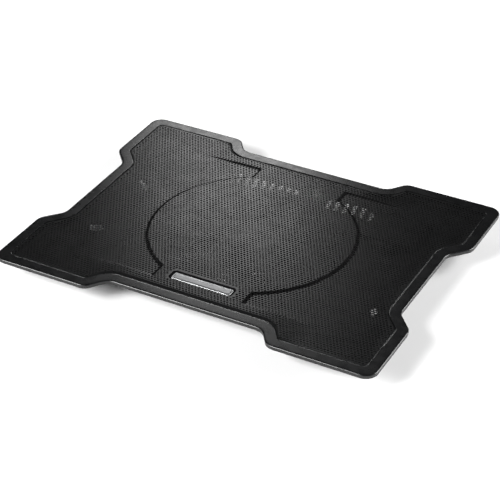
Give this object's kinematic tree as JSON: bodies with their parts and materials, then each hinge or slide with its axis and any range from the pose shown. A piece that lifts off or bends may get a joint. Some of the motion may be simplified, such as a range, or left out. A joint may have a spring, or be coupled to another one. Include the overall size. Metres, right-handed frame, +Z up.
{
  "type": "laptop cooling pad",
  "caption": "Slim laptop cooling pad with lobed frame, perforated metal top with raised round field, large fan, slotted tub and fold-out rear feet.",
  "frame": {"origin": "on the table plane, under the middle of the fan and of the outline", "axes": "+X to the right, +Y to the back edge where the folding feet and the inlet are, +Z up"},
  "size_m": [0.38, 0.29, 0.023],
  "materials": {
    "satin_black": "satin moulded",
    "shell_black": "fine texture",
    "black_steel": "satin powder coat",
    "fan_black": "smooth moulded",
    "satin_silver": "brushed",
    "steel": "bright",
    "zinc_black": "black zinc",
    "magnet": "matte",
    "bronze": "sintered",
    "copper": "enamelled wire",
    "board_green": "solder mask",
    "rubber_black": "matte",
    "label_grey": "matte film",
    "lead_red": "smooth",
    "lead_black": "smooth"
  },
  "bodies": {
    "base": {"top_frame": "satin_black", "mesh_panel": "black_steel", "bottom_shell": "shell_black", "badge_plate": "satin_silver", "blank_label": "label_grey", "fan_frame": "fan_black", "sleeve_bearing": "bronze", "stator_core": "steel", "stator_coils": "copper", "driver_board": "board_green", "fan_screws": "zinc_black", "case_screws": "zinc_black", "foot_pin_left": "steel", "foot_pin_right": "steel", "rubber_feet": "rubber_black", "inlet_board": "board_green", "board_screws": "zinc_black", "power_socket": "steel", "socket_core": "fan_black", "lead_positive": "lead_red", "lead_negative": "lead_black"},
    "rotor": {"fan_rotor": "fan_black", "rotor_yoke": "steel", "magnet_ring": "magnet", "fan_shaft": "steel", "shaft_clip": "label_grey"},
    "foot_left": {"flip_foot_left": "shell_black", "foot_tip_left": "rubber_black"},
    "foot_right": {"flip_foot_right": "shell_black", "foot_tip_right": "rubber_black"}
  },
  "joints": [
    {"name": "fan_spin", "type": "hinge", "parent": "base", "child": "rotor", "pos_m": [0, 0, 0.0108], "axis": [0, 0, 1], "continuous": true},
    {"name": "foot_left_fold", "type": "hinge", "parent": "base", "child": "foot_left", "pos_m": [-0.106, 0.097, 0.0056], "axis": [1, 0, 0], "range_deg": [0, 105]},
    {"name": "foot_right_fold", "type": "hinge", "parent": "base", "child": "foot_right", "pos_m": [0.106, 0.097, 0.0056], "axis": [1, 0, 0], "range_deg": [0, 105]}
  ]
}
